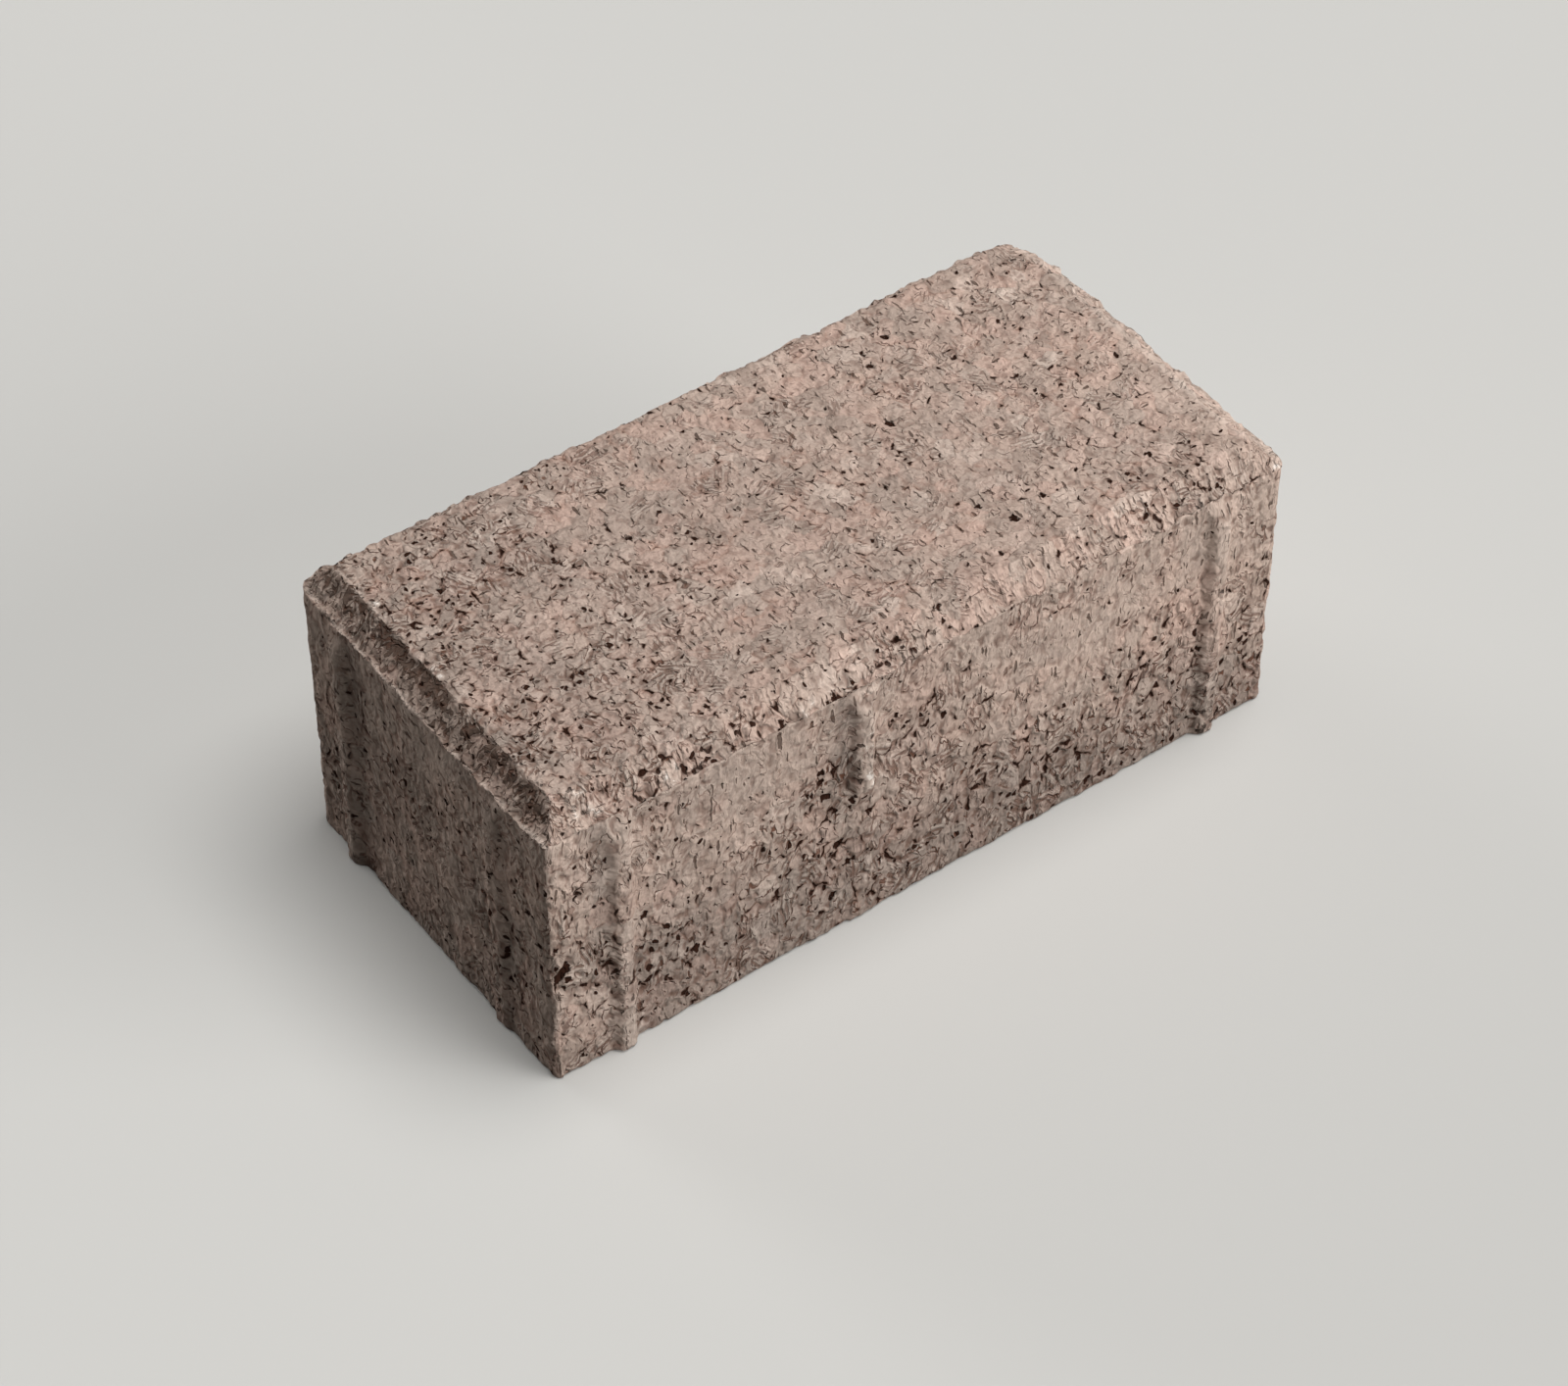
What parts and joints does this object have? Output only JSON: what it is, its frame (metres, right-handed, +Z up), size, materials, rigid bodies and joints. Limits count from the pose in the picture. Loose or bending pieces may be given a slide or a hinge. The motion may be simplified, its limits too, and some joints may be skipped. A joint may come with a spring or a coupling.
{
  "type": "concrete paver",
  "caption": "Rectangular pressed concrete paving block with a chamfered rough wearing face and upright spacer ribs on its side faces.",
  "frame": {"origin": "middle of the flat bottom of the block, over the spacer ribs", "axes": "+X along the length, +Y across the width, +Z up through the wearing face"},
  "size_m": [0.2, 0.1, 0.08],
  "materials": {
    "concrete": "rough pressed concrete, pinkish brown, dry"
  },
  "bodies": {
    "root": {"paver": "concrete"}
  },
  "joints": []
}
